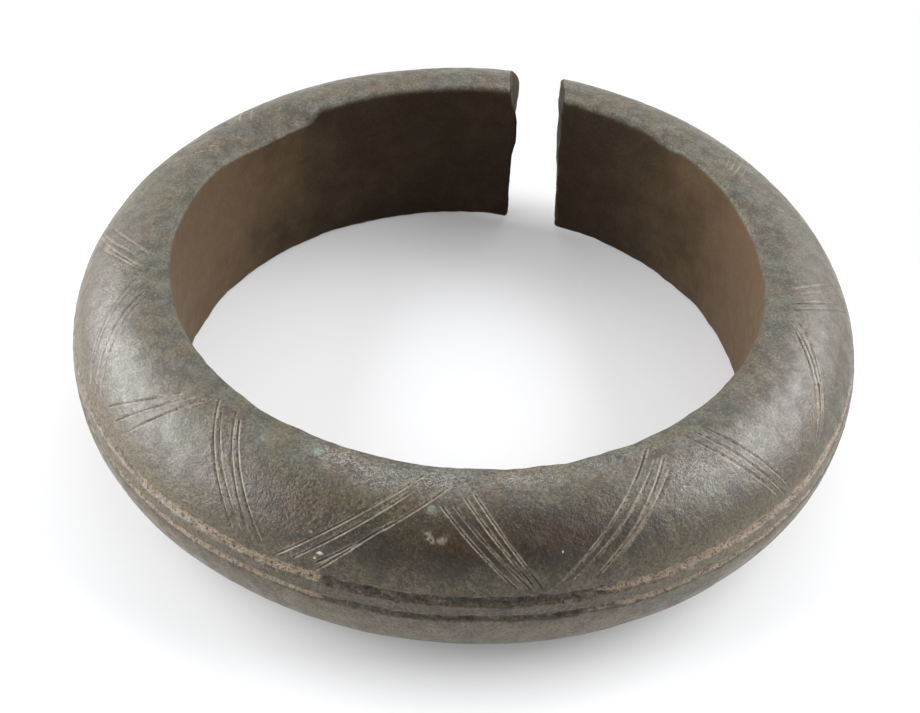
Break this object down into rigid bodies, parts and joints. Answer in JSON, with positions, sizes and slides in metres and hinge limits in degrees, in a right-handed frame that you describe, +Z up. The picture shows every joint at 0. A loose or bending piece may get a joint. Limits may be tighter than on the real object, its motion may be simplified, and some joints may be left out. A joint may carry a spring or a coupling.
{
  "type": "currency bracelet",
  "caption": "Open cast bracelet of D-shaped section with a narrow gap, girdle grooves and a zigzag of cut lines, worn on the wrist and passed on as currency.",
  "frame": {"origin": "axis of the wrist hole, at the level of the lower rim that the ring rests on", "axes": "+Z up along the wrist hole, +Y through the middle of the gap, +X to the right"},
  "size_m": [0.089, 0.089, 0.0202],
  "materials": {
    "bronze": "dark olive-brown patina, satin, with earthy residue in the cuts"
  },
  "bodies": {
    "root": {"cast_ring": "bronze"}
  },
  "joints": []
}
